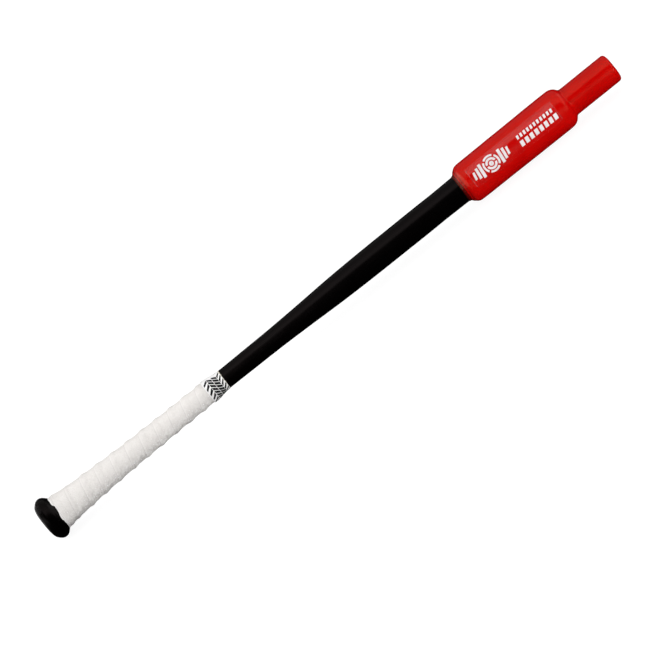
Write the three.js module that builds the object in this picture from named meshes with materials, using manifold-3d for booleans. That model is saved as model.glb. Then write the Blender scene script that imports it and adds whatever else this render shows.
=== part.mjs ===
// Swing training bat: a slim turned core with a knob, a wound hand grip closed by a band, and a raised
// hitting collar bonded on near the tip under a red film sleeve.
//
// Frame: the bat lies along +X. The origin is the centre of the knob's flat end face, +X runs to the
// tip, +Z is up, and the label on the collar faces forward and up (-Y, +Z). Millimetres.
//
// Every round piece is turned with the same number of flats in the same phase, and its radii are
// across flats, so the flats stay parallel through the stack and the named diameters are the real ones.
import * as THREE from "three";
import { mergeVertices } from "three/addons/utils/BufferGeometryUtils.js";
import Module from "manifold-3d";

const wasm = await Module();
wasm.setup();

const { degToRad } = THREE.MathUtils;

// ---------------------------------------------------------------- shared dimensions
const LENGTH = 838.2; // overall, 33 in
const FLATS = 24; // flats round every turned piece
const STEP = (2 * Math.PI) / FLATS;
const PHASE = STEP / 2; // puts a flat at the bottom, so the bat can lie still
const FRONT = degToRad(60); // the front line, turned from +Z towards -Y

// ---------------------------------------------------------------- profiles: [x, radius], knob to tip
const KNOB_R = 27.0; // largest radius of the knob
const TIP_R = 17.1; // core radius under the collar and to the tip

const KNOB = [
  [0, 9.0], [0.3, 13.2], [1.2, 17.8], [2.7, 21.1], [4.6, 23.3], [7.2, 25.5],
  [9.3, 26.6], [11.9, KNOB_R], [14.5, 26.6], [17.0, 25.3], [19.4, 23.1],
];

// Core under the grip: flares into the knob.
const HANDLE = [
  [21.5, 20.5], [24, 20.0], [28, 19.35], [34, 18.45], [40, 17.75],
  [50, 16.85], [60, 16.2], [72, 15.5], [84, 14.95], [96, 14.45],
  [110, 13.95], [124, 13.5], [140, 13.15], [157, 12.95], [175, 12.65],
  [196, 12.35], [215, 12.25], [240, 12.15], [266, 12.0],
];

const BARREL = [
  [312, 12.3], [346, 12.88], [380, 13.9], [415, 15.25], [438, 15.98],
  [461, 16.42], [552, 16.86], [581, 16.72], [604, 16.98], [612, TIP_R],
];

const TIP = [
  [832.6, TIP_R], [834.9, 16.5], [836.0, 15.1], [836.8, 12.8], [837.3, 9.8],
];

// Outside of the closing band.
const BAND = [
  [241.8, 14.55], [248.7, 14.15], [254.4, 13.3], [260.0, 12.6], [265.9, 12.42],
];

// Outside of the red film: lip on the barrel, over the collar, then the fold round the tip.
const FILM = [
  [613.4, 17.62], [615.2, 17.95], [616.5, 19.2], [618.8, 21.9], [620.8, 23.6],
  [623.0, 24.65], [626.0, 25.05], [632.6, 25.2], [678.4, 25.45], [724.3, 25.7],
  [758.7, 25.8], [762.1, 25.25], [764.6, 24.25], [766.9, 22.85], [769.2, 20.5],
  [770.8, 18.55], [772.6, 17.96],
  [832.8, 17.96], [835.5, 17.2], [836.8, 15.6], [837.7, 13.2], [LENGTH, 10.0],
];

// ---------------------------------------------------------------- helpers
const acrossFlats = (radius) => radius / Math.cos(STEP / 2);

// Radius of a profile at x. The end segments run on past the ends.
function radiusAt(profile, x) {
  const found = profile.findIndex(([stationX], i) => i > 0 && x <= stationX);
  const i = found < 0 ? profile.length - 1 : found;
  const [x0, r0] = profile[i - 1];
  const [x1, r1] = profile[i];
  return r0 + ((r1 - r0) * (x - x0)) / (x1 - x0);
}

// The inner points of a profile, moved towards the axis by depth, square to its run.
function inset(profile, depth) {
  const minLean = 0.6; // limits the shift at a sharp corner
  return profile.slice(1, -1).map(([x, r], i) => {
    const [previousX, previousR] = profile[i];
    const [nextX, nextR] = profile[i + 2];
    const before = new THREE.Vector2(x - previousX, r - previousR).normalize();
    const after = new THREE.Vector2(nextX - x, nextR - r).normalize();
    const run = before.add(after).normalize();
    const shift = depth / Math.max(minLean, Math.abs(after.dot(run)));
    return [x + run.y * shift, r - run.x * shift];
  });
}

// Film profile inset by depth, keeping the points between two stations and above a radius.
function underFilm(depth, { fromX, toX, aboveR }) {
  return inset(FILM, depth).filter(([x, r]) => x > fromX && x < toX && r > aboveR);
}

// A turned piece about local +Y.
function turned(profile) {
  const points = profile.map(([x, r]) => new THREE.Vector2(acrossFlats(r), x));
  return new THREE.LatheGeometry(points, FLATS, PHASE);
}

// A turned piece with a hole through it: the profile is closed on itself.
const turnedRing = (profile) => turned([...profile, profile[0]]);

// Puts vertex i at station x, at a radius and an angle from +Z towards -Y.
function placeVertex(position, i, x, radius, angle) {
  position.setXYZ(i, radius * Math.sin(angle), x, radius * Math.cos(angle));
}

// Strips the geometry to its positions, welds it and makes a solid of it.
function solidOf(geometry) {
  geometry.deleteAttribute("normal");
  geometry.deleteAttribute("uv");
  const welded = mergeVertices(geometry, 1e-4);
  return new wasm.Manifold(
    new wasm.Mesh({
      numProp: 3,
      vertProperties: welded.attributes.position.array,
      triVerts: new Uint32Array(welded.index.array),
    }),
  );
}

function geometryOf(solid) {
  const { vertProperties, triVerts } = solid.getMesh();
  const geometry = new THREE.BufferGeometry();
  geometry.setAttribute("position", new THREE.Float32BufferAttribute(vertProperties, 3));
  geometry.setIndex(new THREE.Uint32BufferAttribute(triVerts, 1));
  geometry.computeVertexNormals();
  return geometry;
}

// ---------------------------------------------------------------- core
// Knob, handle, barrel and tip, turned from one blank with flat ends.
function coreGeometry() {
  return turned([
    [KNOB[0][0], 0],
    ...KNOB,
    ...HANDLE,
    ...BARREL,
    ...TIP,
    [TIP.at(-1)[0], 0],
  ]);
}

// ---------------------------------------------------------------- hitting collar and its bond film
const FILM_T = 0.7; // thickness of the red film
const FILM_GAP = 0.15; // film to collar

const COLLAR_BORE = 17.58; // radius
const COLLAR_X0 = 617.0;
const COLLAR_X1 = 769.2;
const COLLAR_END_T = 0.9; // height of the square end faces

const BOND_IN = 17.18; // adhesive film between core and collar
const BOND_OUT = 17.5;
const BOND_SETBACK = 3; // from each end of the collar

function collarGeometry() {
  const outside = underFilm(FILM_T + FILM_GAP, {
    fromX: COLLAR_X0 + 0.4,
    toX: COLLAR_X1 - 0.2,
    aboveR: COLLAR_BORE + 1,
  });
  return turnedRing([
    [COLLAR_X0, COLLAR_BORE],
    [COLLAR_X0, COLLAR_BORE + COLLAR_END_T],
    ...outside,
    [COLLAR_X1, COLLAR_BORE + COLLAR_END_T],
    [COLLAR_X1, COLLAR_BORE],
  ]);
}

function bondGeometry() {
  const startX = COLLAR_X0 + BOND_SETBACK;
  const endX = COLLAR_X1 - BOND_SETBACK;
  return turnedRing([
    [startX, BOND_IN],
    [startX, BOND_OUT],
    [endX, BOND_OUT],
    [endX, BOND_IN],
  ]);
}

// ---------------------------------------------------------------- red film sleeve
const FILM_IN = 17.26; // inner radius over the bare core
const FILM_LIFT_X = 616.0; // the inside leaves the core here, before the collar
const FILM_LAND_X = 771.4; // and comes back down on it here

// Inside of the fold round the tip.
const FILM_TIP_INSIDE = [
  [832.75, FILM_IN], [835.05, 16.62], [836.2, 15.2], [837.0, 12.85], [837.5, 10.0],
];

function sleeveGeometry() {
  const inside = [
    [FILM[0][0], FILM_IN],
    [FILM_LIFT_X, FILM_IN],
    ...underFilm(FILM_T, { fromX: 615, toX: 780, aboveR: FILM_IN + 0.4 }),
    [FILM_LAND_X, FILM_IN],
    ...FILM_TIP_INSIDE,
  ];
  return turnedRing([...FILM, ...inside.reverse()]);
}

// ---------------------------------------------------------------- clear label
const LABEL_X0 = 629.7;
const LABEL_X1 = 754.9;
const LABEL_T = 0.12;
const LABEL_GAP = 0.06; // sleeve to label
const LABEL_FROM = FRONT - degToRad(34);
const LABEL_TO = FRONT + degToRad(26.6);

// The limits, with the values that lie between them.
const between = (from, to, values) => [from, ...values.filter((v) => v > from && v < to), to];

// A sheet laid over the flats of the sleeve, creased at their edges and at the film's stations.
function labelGeometry() {
  const flatEdges = Array.from({ length: FLATS }, (_, k) => PHASE + k * STEP);
  const angles = between(LABEL_FROM, LABEL_TO, flatEdges);
  const stations = between(LABEL_X0, LABEL_X1, FILM.map(([x]) => x));
  const columns = angles.length - 1;
  const rows = stations.length - 1;
  const sheet = new THREE.BoxGeometry(1, 1, 1, columns, rows, 1);
  const { position } = sheet.attributes;
  for (let i = 0; i < position.count; i++) {
    const angle = angles[Math.round((position.getX(i) + 0.5) * columns)];
    const x = stations[Math.round((position.getY(i) + 0.5) * rows)];
    const lift = LABEL_GAP + (position.getZ(i) > 0 ? LABEL_T : 0);
    // The small term keeps an angle on an edge from rounding to the flat before.
    const flat = Math.floor((angle - PHASE) / STEP + 1e-9);
    const flatCentre = (flat + 0.5) * STEP + PHASE;
    const radius = (radiusAt(FILM, x) + lift) / Math.cos(angle - flatCentre);
    placeVertex(position, i, x, radius, angle);
  }
  sheet.computeVertexNormals();
  return sheet;
}

// ---------------------------------------------------------------- grip and closing band
const TAPE_T = 1.1; // thickness of the grip strip
const TAPE_GAP = 0.1; // core to strip
const LAP_GAP = 0.13; // strip to the turn below it
const TAPE_PITCH = 20.9; // advance of the strip in one turn
const TAPE_LAP = 6.0; // how far a turn lies on the one before
const TAPE_START = 21.9; // trimmed square against the knob
const TAPE_END = 249.0; // trimmed square under the band
const SEAM_X = 38.7; // a seam crosses the front line of the bat here

const BAND_T = 0.3;
const BAND_GAP = 0.1; // grip to band
const SHOULDER_X = BAND[0][0] - 0.3; // the grip is cut down from here to fit under the band
const TRIM_R = 30; // clear of the whole grip

// Section of the strip: [along the bat, height above its seat], counter-clockwise.
function stripSection() {
  const width = TAPE_PITCH + TAPE_LAP;
  const landing = TAPE_LAP + 1.6; // where a turn has come down on to the core
  const lapUnder = TAPE_T + LAP_GAP;
  const lapTop = lapUnder + TAPE_T;
  const section = [
    [0, lapUnder],
    [TAPE_LAP + 0.15, lapUnder],
    [landing, 0],
    [width, 0],
    [width, TAPE_T],
    [landing + 0.9, TAPE_T],
    [TAPE_LAP + 0.7, lapTop],
    [2.4, lapTop],
    [0, lapUnder + TAPE_T / 2], // thinned edge
  ];
  return new THREE.Shape(section.map(([along, height]) => new THREE.Vector2(along, height)));
}

// One long strip, each turn lapping the last. Step k of the winding moves it on by one flat;
// it passes the front line at SEAM_X and runs over the top as it goes to the tip.
function woundStrip() {
  const angleAt = (k) => PHASE - k * STEP;
  const xAt = (k) => SEAM_X + (TAPE_PITCH * (FRONT - angleAt(k))) / (2 * Math.PI);
  const stepBefore = (x) => Math.floor((x - xAt(0)) / (TAPE_PITCH / FLATS));
  // Starts over a full width before the trim, so the trimmed end is complete.
  const first = stepBefore(TAPE_START - TAPE_PITCH - TAPE_LAP - 1);
  const last = stepBefore(SHOULDER_X);
  const wound = new THREE.ExtrudeGeometry(stripSection(), {
    depth: last - first,
    steps: last - first,
    bevelEnabled: false,
  });
  const { position } = wound.attributes;
  for (let i = 0; i < position.count; i++) {
    // Counted back from the last step, which keeps the faces turned outwards.
    const k = last - Math.round(position.getZ(i));
    const x = xAt(k) + position.getX(i);
    const radius = acrossFlats(radiusAt(HANDLE, x) + TAPE_GAP + position.getY(i));
    placeVertex(position, i, x, radius, angleAt(k));
  }
  return wound;
}

function gripGeometry() {
  const underBand = (radius) => radius - BAND_T - BAND_GAP;
  const trim = turned([
    [TAPE_START, 0],
    [TAPE_START, TRIM_R],
    [SHOULDER_X, TRIM_R],
    [SHOULDER_X, underBand(BAND[0][1])],
    [BAND[1][0], underBand(BAND[1][1])],
    [TAPE_END, underBand(radiusAt(BAND, TAPE_END))],
    [TAPE_END, 0],
  ]);
  return geometryOf(solidOf(woundStrip()).intersect(solidOf(trim)));
}

function bandGeometry() {
  const inside = BAND.map(([x, r]) => [x, r - BAND_T]);
  return turnedRing([...BAND, ...inside.reverse()]);
}

// ---------------------------------------------------------------- assembly
const bat = new THREE.Group();
const spindle = new THREE.Group(); // turned pieces have their axis on local +Y
spindle.rotation.z = -Math.PI / 2;
bat.add(spindle);

function addPiece(name, geometry, finish) {
  const mesh = new THREE.Mesh(geometry, new THREE.MeshStandardMaterial(finish));
  mesh.name = name;
  spindle.add(mesh);
}

addPiece("bat_core", coreGeometry(), { color: 0x0a0809, roughness: 0.38 });
addPiece("collar_bond_film", bondGeometry(), { color: 0xd9cfa8, roughness: 0.6 });
addPiece("hitting_collar", collarGeometry(), { color: 0x2c2b2b, roughness: 0.85 });
addPiece("shrink_sleeve", sleeveGeometry(), { color: 0xbb0b06, roughness: 0.3 });
addPiece("sleeve_label", labelGeometry(), {
  color: 0xf2eeee,
  roughness: 0.22,
  opacity: 0.5,
  transparent: true,
});
addPiece("grip_tape", gripGeometry(), { color: 0xece8e3, roughness: 0.72 });
addPiece("finish_band", bandGeometry(), { color: 0xf1f0ee, roughness: 0.45 });

export default bat;
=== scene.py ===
"""Looks of a swing training bat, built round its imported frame.

The bat lies along +X, from the face of its knob at x = 0 to its tip. +Z is up, and the camera
looks down on it from the front, which is -Y. Lengths are in millimetres until a mesh is made;
materials, lights and camera are in metres. Angles round the bat run from its top to the front.
"""
import math

import bpy
import numpy as np
from mathutils import Matrix, Vector


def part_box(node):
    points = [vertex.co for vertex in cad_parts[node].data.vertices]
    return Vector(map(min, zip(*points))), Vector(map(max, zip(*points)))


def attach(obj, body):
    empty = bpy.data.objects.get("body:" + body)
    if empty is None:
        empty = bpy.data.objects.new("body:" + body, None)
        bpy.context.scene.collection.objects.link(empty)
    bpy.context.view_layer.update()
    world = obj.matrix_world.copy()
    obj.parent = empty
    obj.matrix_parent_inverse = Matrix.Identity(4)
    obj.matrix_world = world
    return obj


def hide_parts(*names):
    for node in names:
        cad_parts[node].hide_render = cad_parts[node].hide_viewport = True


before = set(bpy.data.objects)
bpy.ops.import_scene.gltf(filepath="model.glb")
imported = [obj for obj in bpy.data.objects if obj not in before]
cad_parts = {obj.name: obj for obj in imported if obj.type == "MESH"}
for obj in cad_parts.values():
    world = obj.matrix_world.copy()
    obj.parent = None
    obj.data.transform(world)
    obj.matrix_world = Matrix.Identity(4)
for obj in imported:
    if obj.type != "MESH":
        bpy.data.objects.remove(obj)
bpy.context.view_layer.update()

MM = 0.001
TURN = 2 * math.pi
ELEV = math.radians(30.0)  # the camera looks down on the bat by this much
FRONT = math.pi / 2 - ELEV  # angle round the bat that faces the camera
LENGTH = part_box("shrink_sleeve")[1].x / MM
BODY = "root"


# ------------------------------------------------------------------ curves
def smooth(start, end, x):
    """A smooth step from 0 at start to 1 at end."""
    part = np.clip((np.asarray(x, float) - start) / (end - start), 0, 1)
    return part * part * (3 - 2 * part)


def swell(x, centre, width):
    """A bell of height 1 about a centre."""
    return np.exp(-(((x - centre) / width) ** 2))


def monotone(points):
    """A smooth function through [x, value] points that doesn't overshoot."""
    xs, ys = np.array(points, float).T
    gaps = np.diff(xs)
    rises = np.diff(ys) / gaps
    slopes = np.zeros(len(xs))
    slopes[0], slopes[-1] = rises[0], rises[-1]
    for i in range(1, len(xs) - 1):
        if rises[i - 1] * rises[i] > 0:
            before = 2 * gaps[i] + gaps[i - 1]
            after = gaps[i] + 2 * gaps[i - 1]
            slopes[i] = (before + after) / (before / rises[i - 1] + after / rises[i])

    def value(x):
        x = np.asarray(x, float)
        i = np.clip(np.searchsorted(xs, x) - 1, 0, len(gaps) - 1)
        part = (x - xs[i]) / gaps[i]
        square, cube = part**2, part**3
        return (
            (2 * cube - 3 * square + 1) * ys[i]
            + (cube - 2 * square + part) * gaps[i] * slopes[i]
            + (-2 * cube + 3 * square) * ys[i + 1]
            + (cube - square) * gaps[i] * slopes[i + 1]
        )

    return value


def curve_through(points, per):
    """Centripetal Catmull-Rom line through [x, radius] points, with per steps from each on."""
    line = np.array(points, float)
    line = np.vstack([2 * line[0] - line[1], line, 2 * line[-1] - line[-2]])
    out = []
    for i in range(1, len(line) - 2):
        near = line[i - 1 : i + 3]
        knots = [0.0]
        for start, end in zip(near, near[1:]):
            knots.append(knots[-1] + np.linalg.norm(end - start) ** 0.5)
        for k in range(per):
            here = knots[1] + (knots[2] - knots[1]) * k / per

            def blend(first, last, start, end):
                span = knots[last] - knots[first]
                return (knots[last] - here) / span * start + (here - knots[first]) / span * end

            ones = [blend(j, j + 1, near[j], near[j + 1]) for j in range(3)]
            twos = [blend(j, j + 2, ones[j], ones[j + 1]) for j in range(2)]
            out.append(blend(1, 2, *twos))
    out.append(line[-2])
    return np.array(out)


def inset(line, depth):
    """An outline moved in towards the axis, square to itself."""
    along = np.gradient(line, axis=0)
    along /= np.linalg.norm(along, axis=1, keepdims=True)
    return line - np.stack([-along[:, 1], along[:, 0]], 1) * depth


# ------------------------------------------------------------------ meshes
def on_bat(x, radius, angle):
    """Points in metres from millimetres along and out, and the angle round the bat."""
    x, radius, angle = np.broadcast_arrays(*(np.asarray(a, float) for a in (x, radius, angle)))
    return np.stack([x, -radius * np.sin(angle), radius * np.cos(angle)], -1) * MM


def add_object(name, data):
    ob = bpy.data.objects.new(name, data)
    bpy.context.scene.collection.objects.link(ob)
    return ob


def make_mesh(name, verts, quads, tris=(), sharp=None, attributes=None):
    """A smooth mesh object from arrays, with edges over sharp degrees kept sharp."""
    verts = np.asarray(verts, np.float32).reshape(-1, 3)
    quads = np.asarray(quads, np.int32).reshape(-1, 4)
    tris = np.asarray(tris, np.int32).reshape(-1, 3)
    mesh = bpy.data.meshes.new(name)
    mesh.vertices.add(len(verts))
    mesh.vertices.foreach_set("co", verts.ravel())
    mesh.loops.add(quads.size + tris.size)
    mesh.loops.foreach_set("vertex_index", np.concatenate([quads.ravel(), tris.ravel()]))
    mesh.polygons.add(len(quads) + len(tris))
    totals = np.repeat([4, 3], [len(quads), len(tris)]).astype(np.int32)
    starts = (np.cumsum(totals) - totals).astype(np.int32)
    mesh.polygons.foreach_set("loop_start", starts)
    mesh.polygons.foreach_set("loop_total", totals)
    mesh.polygons.foreach_set("use_smooth", np.ones(len(starts), bool))
    for key, values in (attributes or {}).items():
        layer = mesh.attributes.new(key, "FLOAT", "POINT")
        layer.data.foreach_set("value", np.asarray(values, np.float32).ravel())
    mesh.update(calc_edges=True)
    mesh.validate(verbose=False)
    if sharp is not None:
        mesh.set_sharp_from_angle(angle=math.radians(sharp))
    return add_object(name, mesh)


def turned(name, outline, steps, shape=None, loop=False):
    """A turned piece from an [x, radius] line.

    With loop the line closes on itself, else its ends lie on the axis. shape(x, radius, angle)
    gets whole grids and gives x and radius back, moved.
    """
    outline = np.asarray(outline, float)
    body = outline if loop else outline[1:-1]
    count = len(body)
    angle = np.repeat((np.arange(steps) * TURN / steps)[None, :], count, 0)
    x = np.repeat(body[:, 0][:, None], steps, 1)
    radius = np.repeat(body[:, 1][:, None], steps, 1)
    if shape is not None:
        x, radius = shape(x, radius, angle)
    verts = on_bat(x, radius, angle).reshape(-1, 3)
    i, j = np.meshgrid(np.arange(count if loop else count - 1), np.arange(steps), indexing="ij")
    i2, j2 = (i + 1) % count, (j + 1) % steps
    corners = [i * steps + j, i * steps + j2, i2 * steps + j2, i2 * steps + j]
    tris = []
    if not loop:
        pole = len(verts)
        last = (count - 1) * steps
        verts = np.vstack([verts, on_bat(outline[[0, -1], 0], 0, 0)])
        for k in range(steps):
            after = (k + 1) % steps
            tris.append([pole, after, k])
            tris.append([pole + 1, last + k, last + after])
    return make_mesh(name, verts, np.stack(corners, -1).reshape(-1, 4), tris, sharp=50)


def volume(verts, quads):
    """Six times the volume inside closed quads: negative if they are inside out."""
    a, b, c, d = (verts[quads[:, k]] for k in range(4))
    halves = np.cross(b, c), np.cross(c, d)
    return sum(np.einsum("ij,ij->i", a, half).sum() for half in halves)


def sheet(outside, inside):
    """Vertices and quads of a closed sheet between two grids of points (m, n, 3)."""
    m, n = outside.shape[:2]
    verts = np.concatenate([outside.reshape(-1, 3), inside.reshape(-1, 3)])
    below = m * n
    i, j = np.meshgrid(np.arange(m - 1), np.arange(n - 1), indexing="ij")
    a, b, c, d = i * n + j, (i + 1) * n + j, (i + 1) * n + j + 1, i * n + j + 1
    upper = np.stack([a, b, c, d], -1).reshape(-1, 4)
    lower = np.stack([a, d, c, b], -1).reshape(-1, 4) + below
    ring = (
        list(range(n))
        + [k * n + n - 1 for k in range(1, m)]
        + [(m - 1) * n + k for k in range(n - 2, -1, -1)]
        + [k * n for k in range(m - 2, 0, -1)]
    )
    rim = [[p, q, q + below, p + below] for p, q in zip(ring, ring[1:] + ring[:1])]
    quads = np.concatenate([upper, lower, np.array(rim)])
    return verts, quads if volume(verts, quads) > 0 else quads[:, ::-1]


def joined(parts):
    """One set of vertices and quads from several."""
    all_verts, all_quads, offset = [], [], 0
    for verts, quads in parts:
        all_verts.append(verts)
        all_quads.append(quads + offset)
        offset += len(verts)
    return np.concatenate(all_verts), np.concatenate(all_quads)


INK = 0.025  # thickness of printed ink


def inked(x, angle, surface, lift):
    """A sheet of ink over a grid of places, lifted a little off surface(x, angle)."""
    radius = surface(x, angle) + lift
    return sheet(on_bat(x, radius + INK, angle), on_bat(x, radius, angle))


def ink_patch(corners, surface, ref_radius, lift, m, n):
    """A four-cornered patch of ink. Its corners, in order round it, are [x, arc], with the arc
    measured at ref_radius from the side that faces the camera."""
    corners = np.array(corners, float)
    s, t = np.meshgrid(np.linspace(0, 1, m), np.linspace(0, 1, n), indexing="ij")
    weights = np.stack([(1 - s) * (1 - t), s * (1 - t), s * t, (1 - s) * t], -1)
    spots = weights @ corners
    return inked(spots[..., 0], FRONT + spots[..., 1] / ref_radius, surface, lift)


# ------------------------------------------------------------------ core: knob, handle, barrel, tip
BARREL_RADIUS = 17.1
HANDLE_START = 21.5
TIP_START = 832.4
TIP_FACE = 837.3

# Outlines as [x, radius].
KNOB = [
    [0.0, 8.5], [0.1, 11.2], [0.4, 14.2], [1.0, 17.2], [1.95, 19.9], [3.0, 21.6], [4.3, 23.0],
    [5.7, 24.4], [7.2, 25.6], [8.6, 26.35], [10.2, 26.85], [11.9, 27.0], [13.6, 26.85],
    [15.3, 26.3], [17.0, 25.3], [18.6, 23.9], [19.7, 22.8], [20.6, 21.8], [21.4, 21.0],
]
HANDLE = [
    [HANDLE_START, 20.5], [24, 20.0], [28, 19.35], [34, 18.45], [40, 17.75], [50, 16.85],
    [60, 16.2], [72, 15.5], [84, 14.95], [96, 14.45], [110, 13.95], [124, 13.5], [140, 13.15],
    [157, 12.95], [175, 12.65], [196, 12.35], [215, 12.25], [240, 12.15], [266, 12.05],
]
BARREL = [
    [289, 12.22], [302, 12.36], [319.5, 12.48], [336.7, 12.68], [353.9, 13.08], [371, 13.6],
    [388.4, 14.2], [405.6, 14.9], [422.8, 15.58], [440, 16.03], [457.3, 16.35], [474.5, 16.58],
    [491.7, 16.7], [526, 16.8], [543, 16.88], [560, 16.87], [578, 16.7], [595, 16.85],
    [606, 17.02], [612.5, 17.08], [700, BARREL_RADIUS], [TIP_START, BARREL_RADIUS],
]
TIP = [
    [TIP_START, BARREL_RADIUS], [834.2, 16.9], [835.3, 16.3], [836.1, 15.3], [836.7, 14.0],
    [837.1, 12.4], [837.25, 11.0],
]

core_radius = monotone(HANDLE + BARREL)
knob_line = curve_through(KNOB, per=4)


def build_core():
    stations = [np.arange(22.5, 262, 4.0), np.arange(262, 612, 2.5), np.arange(612, 832, 10.0)]
    shaft_x = np.concatenate(stations)
    outline = [
        [[0.0, 0.0], [0.0, 3.0], [0.0, 6.0]],
        knob_line,
        np.stack([shaft_x, core_radius(shaft_x)], 1),
        curve_through(TIP, per=3),
        [[TIP_FACE, 9.8], [TIP_FACE, 5.0], [TIP_FACE, 0.0]],
    ]
    return turned("turned_core", np.vstack(outline), steps=144)


core = build_core()

# ------------------------------------------------------------------ wound grip
TAPE_THICK = 1.02
TAPE_WIDE = 29.5
TAPE_START = 20.9
TAPE_STOP = 251.0  # the strip is cut off here, under the closing band
TURN_ROWS = 126
FIRST_TURN, LAST_TURN = -2.5, 9.66

# The strip's edge on the knob side, as [turn, x].
SEAMS = [
    [-2.5, 21.0], [-2.0, 21.2], [-1.5, 21.7], [-1.2, 22.7], [-1.0, 23.9], [-0.75, 25.0],
    [-0.5, 28.6], [-0.25, 33.9], [0, 39.2], [1, 60.1], [2, 80.6], [3, 102.6], [4, 124.1],
    [5, 144.6], [6, 165.4], [7, 186.7], [8, 205.9], [9, 226.9], [10, 248.0],
]
# Outside of the closing band, as [x, radius].
BAND_OUT = [
    [240.8, 14.62], [243.2, 14.55], [246.0, 14.42], [248.7, 14.15], [251.5, 13.75],
    [254.4, 13.25], [257.2, 12.8], [260.0, 12.5], [262.6, 12.40], [265.4, 12.38],
]
# How far the strip's first edge sits from its line, as [degrees from the camera's side, mm].
RAGGED = [
    [-180, 0.25], [-150, 0.55], [-146, -0.15], [-120, 0.1], [-96, 0.45], [-70, 0.2],
    [-62, -0.1], [-45, 0.0], [-38, -0.2], [-31, 0.0], [-27.5, 1.7], [-23, 1.85], [-16, 1.65],
    [-9.7, 1.55], [-3, 1.15], [3, 0.8], [9.7, 0.0], [16, -0.4], [23, -0.55], [26.5, -0.55],
    [29.5, 0.8], [34, 0.4], [38, 0.22], [46, 0.5], [57, 0.2], [72, -0.2], [100, -0.1],
    [118, 0.5], [124, -0.1], [150, 0.1], [180, 0.25],
]
seam_x = monotone(SEAMS)
band_radius = monotone(BAND_OUT)

# Stations across the strip, as parts of its width: on the outside they are close together
# where it shows and few where the next turn hides it.
ACROSS_OUT = np.concatenate(
    [[0.0, 0.12, 0.3, 0.6], np.arange(1.0, 22.6, 0.5), [24.0, 25.5, 27.0, 28.3, 29.1, TAPE_WIDE]]
) / TAPE_WIDE
ACROSS_IN = np.array([0.0, 0.1, 0.2, 0.3, 0.4, 0.55, 0.75, 1.0])
OUTS, INS = len(ACROSS_OUT), len(ACROSS_IN)
SHOWN_MID = 24  # the middle of the stations that show

# The strip is laid on a grid of surface radii: a row for each angle, a column for each x.
GRID_FROM, GRID_STEP = 10.0, 0.1
GRID_PAD = 60  # columns worked out past each edge of the strip
GRID = np.arange(GRID_FROM, 275.0, GRID_STEP)
SOFTEN = 0.9  # how softly the strip follows what is under it


def bell_weights(spread, step):
    reach = int(3 * spread / step)
    places = np.arange(-reach, reach + 1) * step
    weights = np.exp(-0.5 * (places / spread) ** 2)
    return weights / weights.sum()


def bare_surface():
    """The grid before any strip is laid."""
    neck = knob_line[knob_line[:, 0] > 12.0]
    on_knob = np.interp(GRID, neck[:, 0], neck[:, 1])
    on_handle = core_radius(np.maximum(GRID, HANDLE_START))
    radius = np.where(GRID < HANDLE_START, on_knob, on_handle) + 0.06
    return np.repeat(radius[None, :], TURN_ROWS, 0)


def value_noise(x, y, seed):
    """Smooth noise from -1 to 1 over a plane, with features one unit wide."""
    cell_x, cell_y = np.floor(x), np.floor(y)
    part_x, part_y = x - cell_x, y - cell_y
    part_x, part_y = part_x**2 * (3 - 2 * part_x), part_y**2 * (3 - 2 * part_y)

    def corner(i, j):
        """A hash of the cell's corner, from -1 to 1."""
        wave = np.sin((cell_x + i) * 127.1 + (cell_y + j) * 311.7 + seed * 74.7) * 43758.5453
        return (wave - np.floor(wave)) * 2 - 1

    return (
        corner(0, 0) * (1 - part_x) * (1 - part_y)
        + corner(1, 0) * part_x * (1 - part_y)
        + corner(0, 1) * (1 - part_x) * part_y
        + corner(1, 1) * part_x * part_y
    )


def slant_noise(along, across, size_a, size_b, seed):
    """Noise on axes slanted across the strip."""
    return value_noise((along + across) / size_a, (along - across) / size_b, seed)


def pebbles(along, across):
    """The pebbled face of the strip."""
    a, b = (along + across) * 0.7071, (along - across) * 0.7071
    coarse = value_noise(a / 2.1, b / 2.1, seed=1)
    return 0.062 * coarse + 0.034 * value_noise(a / 1.25, b / 1.25, seed=2)


def wrinkles(turn, across, along):
    """Stretch wrinkles and the pebbled face, in millimetres out."""
    angle = TURN * turn
    out = pebbles(along, across) + 0.030 * slant_noise(along, across, 9.2, 5.1, seed=3)
    wide = np.sin(angle * 5.0 + 1.3 * np.floor(turn + 50) + across * 0.35)
    out = out + 0.045 * wide * np.sin(across * 0.31 + 0.7)
    out = out + 0.030 * np.sin(angle * 9.0 - across * 0.8 + 2.1 * np.sin(angle * 2.0))
    bend = np.sin(angle * 3.0 + across * 0.4) * 1.5
    return out + 0.025 * np.sin(angle * 17.0 + across * 1.1 + bend)


def ragged(angle):
    degrees = (math.degrees(angle - FRONT) + 180.0) % 360.0 - 180.0
    return float(np.interp(degrees, *np.array(RAGGED).T))


def lay_edges(turn, angle):
    """The strip's edges in x. It starts narrow and grows to its full width."""
    wide = 7.0 + (TAPE_WIDE - 7.0) * float(smooth(-2.1, 0.0, turn))
    edge = float(seam_x(turn))
    for size, waves, shift in ((0.105, 3, 0.7), (0.063, 7, 2.0), (0.035, 16, 0.0)):
        edge += size * math.sin(TURN * turn * waves + shift)
    first = 1 - float(smooth(-1.55, -1.4, turn))
    edge = max(edge + (ragged(angle) + 0.2) * first, TAPE_START)
    return edge, min(edge + wide, TAPE_STOP)


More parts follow.
